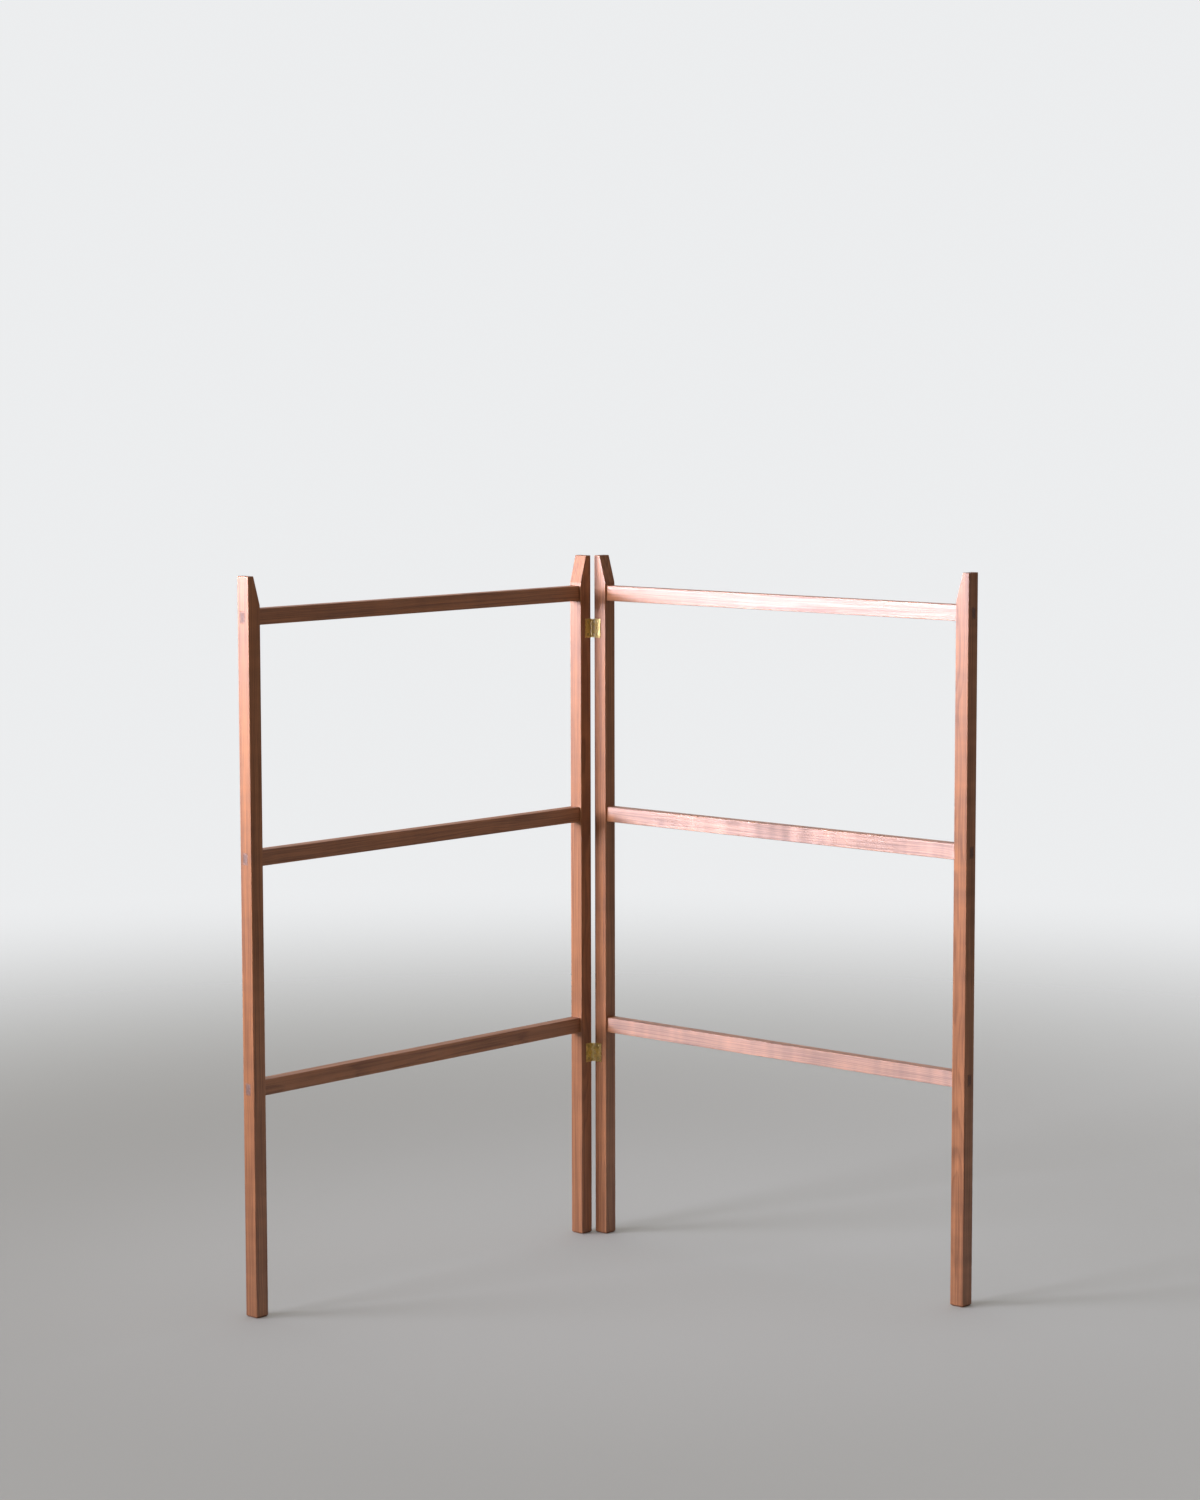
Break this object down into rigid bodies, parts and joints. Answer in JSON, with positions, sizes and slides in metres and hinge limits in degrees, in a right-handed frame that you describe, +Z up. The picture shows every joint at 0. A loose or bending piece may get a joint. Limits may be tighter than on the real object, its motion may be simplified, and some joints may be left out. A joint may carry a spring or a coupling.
{
  "type": "folding clothes drying rack",
  "caption": "Freestanding wooden drying rack: ladder-like panels of square posts and through-tenoned rails, joined by brass butt hinges and folding flat.",
  "frame": {"origin": "bottom centre of the standing rack's bounding box, on the floor", "axes": "+Z up; the rack is symmetric left to right about the YZ plane and its V opens towards -Y, with the hinge axis upright at x = 0, y = 0.2030"},
  "size_m": [0.8866, 0.4334, 0.9],
  "materials": {
    "post_wood": "oiled satin, reddish brown",
    "rail_wood": "oiled satin, reddish brown",
    "brass_leaf": "satin",
    "brass_pin": "satin",
    "brass_screw": "satin"
  },
  "bodies": {
    "left_panel": {"left_outer_post": "post_wood", "left_hinge_post": "post_wood", "left_top_rail": "rail_wood", "left_middle_rail": "rail_wood", "left_bottom_rail": "rail_wood", "left_upper_hinge_leaf": "brass_leaf", "left_upper_leaf_screws": "brass_screw", "left_lower_hinge_leaf": "brass_leaf", "left_lower_leaf_screws": "brass_screw", "upper_hinge_pin": "brass_pin", "lower_hinge_pin": "brass_pin"},
    "right_panel": {"right_outer_post": "post_wood", "right_hinge_post": "post_wood", "right_top_rail": "rail_wood", "right_middle_rail": "rail_wood", "right_bottom_rail": "rail_wood", "right_upper_hinge_leaf": "brass_leaf", "right_upper_leaf_screws": "brass_screw", "right_lower_hinge_leaf": "brass_leaf", "right_lower_leaf_screws": "brass_screw"}
  },
  "joints": [
    {"name": "panel_fold", "type": "hinge", "parent": "left_panel", "child": "right_panel", "pos_m": [0, 0.20298, 0.524], "axis": [0, 0, 1], "range_deg": [-91, 95]}
  ]
}
